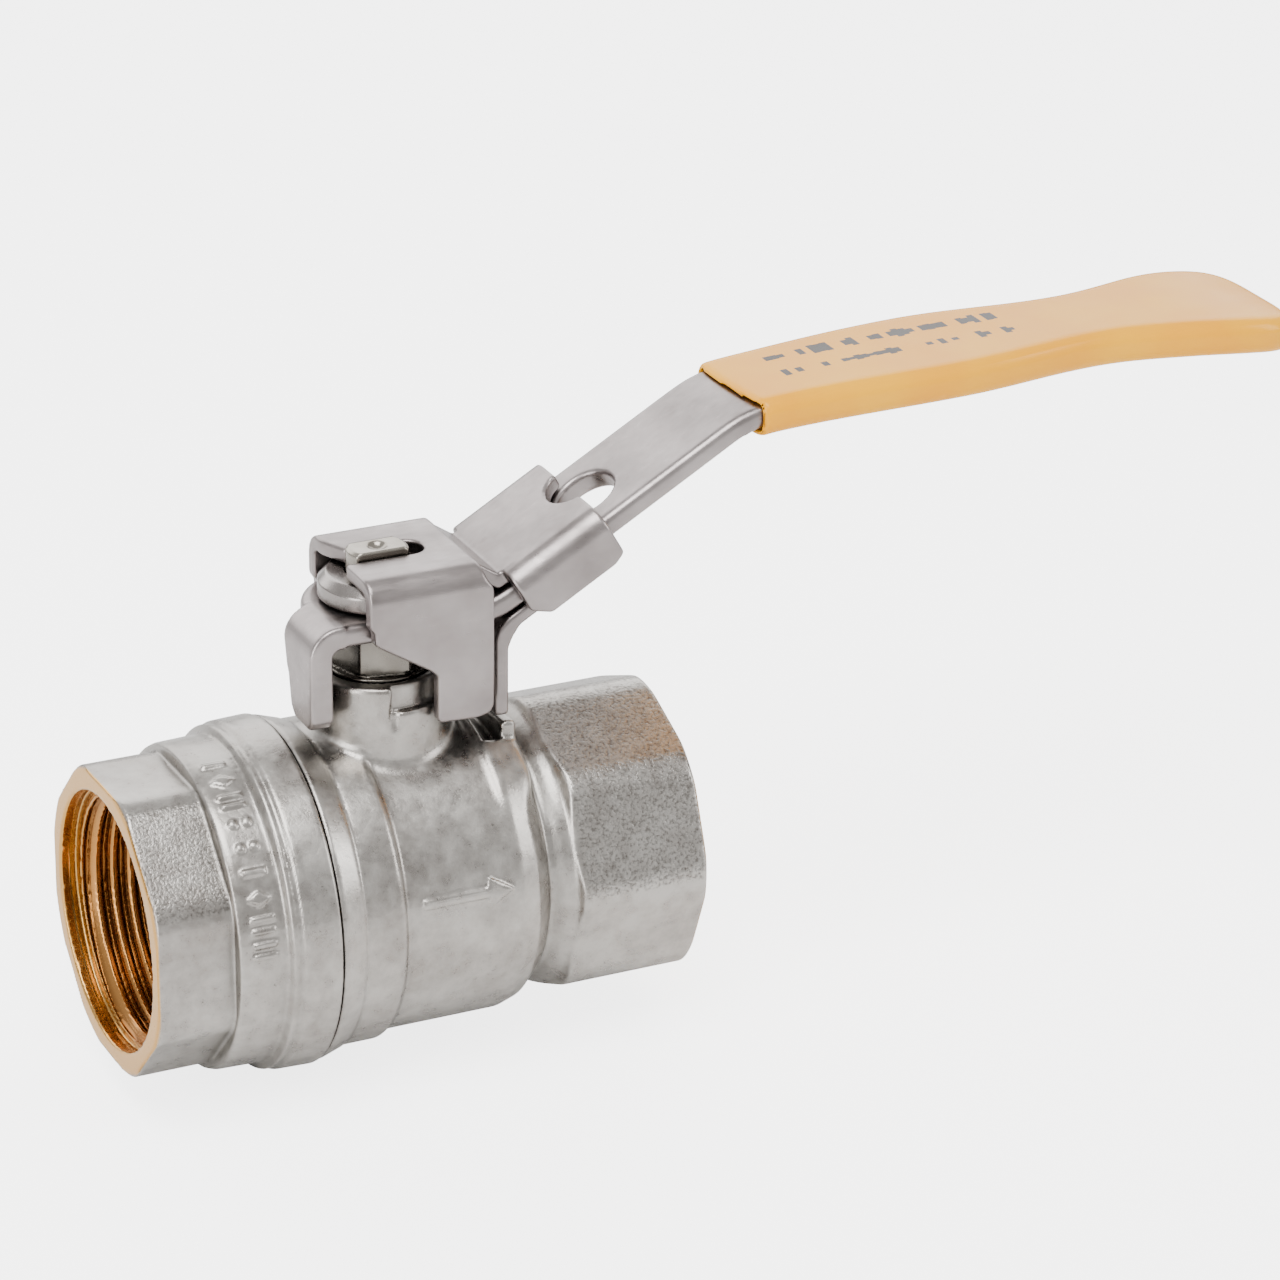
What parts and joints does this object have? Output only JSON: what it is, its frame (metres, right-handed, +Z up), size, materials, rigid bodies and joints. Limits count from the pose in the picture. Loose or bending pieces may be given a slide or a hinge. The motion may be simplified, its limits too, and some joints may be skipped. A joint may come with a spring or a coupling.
{
  "type": "gas ball valve",
  "caption": "Full-bore brass ball valve for gas with female pipe threads, a quarter-turn lever, a sliding lock plate for a padlock and a dipped grip.",
  "frame": {"origin": "centre of the ball, where the pipe axis crosses the stem's axis", "axes": "+X along the pipe axis from the screwed end cap towards the body's own end, which is also the way the open lever points, +Z up the stem towards the lever"},
  "size_m": [0.167, 0.0454, 0.0843],
  "materials": {
    "plated_brass": "nickel-plated brass, shot-blasted and part cast, satin",
    "machined_brass": "bare brass, turned",
    "polished_ball": "chromed brass, polished",
    "stem_brass": "nickel-plated brass, turned and milled",
    "sheet_steel": "zinc-plated sheet, stamped",
    "ptfe": "machined PTFE, waxy",
    "seal_rubber": "moulded nitrile rubber, matt",
    "dipped_vinyl": "dipped PVC, glossy"
  },
  "bodies": {
    "housing": {"body": "plated_brass", "end_cap": "plated_brass", "seat_ring_inlet": "ptfe", "seat_ring_outlet": "ptfe", "seat_o_ring_inlet": "seal_rubber", "seat_o_ring_outlet": "seal_rubber", "body_seal_ring": "seal_rubber", "stem_thrust_washer": "ptfe", "stem_packing": "ptfe", "gland_follower": "machined_brass", "gland_nut": "stem_brass"},
    "lever": {"ball": "polished_ball", "stem": "stem_brass", "stem_o_ring_lower": "seal_rubber", "stem_o_ring_upper": "seal_rubber", "lever_bar": "sheet_steel", "lever_nut": "sheet_steel", "grip": "dipped_vinyl"},
    "latch": {"slide_lock": "sheet_steel", "lock_tongue": "sheet_steel"}
  },
  "joints": [
    {"name": "lever_turn", "type": "hinge", "parent": "housing", "child": "lever", "pos_m": [0, 0, 0], "axis": [0, 0, 1], "range_deg": [-90, 0]},
    {"name": "lock_slide", "type": "slide", "parent": "lever", "child": "latch", "axis": [0.866, 0, 0.5], "range_m": [0, 0.01]}
  ]
}
